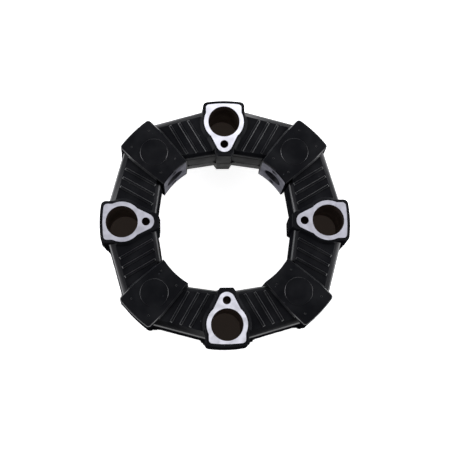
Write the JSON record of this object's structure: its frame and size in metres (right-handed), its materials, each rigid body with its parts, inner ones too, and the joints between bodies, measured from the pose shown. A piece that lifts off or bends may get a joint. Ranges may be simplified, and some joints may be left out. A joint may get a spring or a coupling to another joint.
{
  "type": "elastic coupling ring",
  "caption": "Flat moulded rubber coupling ring with bonded metal inserts, alternately bolted through along its axis and screwed radially to a hub.",
  "frame": {"origin": "on the ring's axis, in the plane of the lower end faces of the axial inserts", "axes": "+Z along the ring's axis, upwards; +Y through an axial insert's bore, +X through the next one clockwise"},
  "size_m": [0.2018, 0.2018, 0.044],
  "materials": {
    "moulded_rubber": "satin moulded rubber, fine sheen",
    "machined_aluminium": "fine machined end faces",
    "cast_aluminium": "plain bored and machined casting"
  },
  "bodies": {
    "root": {"rubber_ring": "moulded_rubber", "axial_insert_1": "machined_aluminium", "axial_insert_2": "machined_aluminium", "axial_insert_3": "machined_aluminium", "axial_insert_4": "machined_aluminium", "radial_insert_1": "cast_aluminium", "radial_insert_2": "cast_aluminium", "radial_insert_3": "cast_aluminium", "radial_insert_4": "cast_aluminium"}
  },
  "joints": []
}
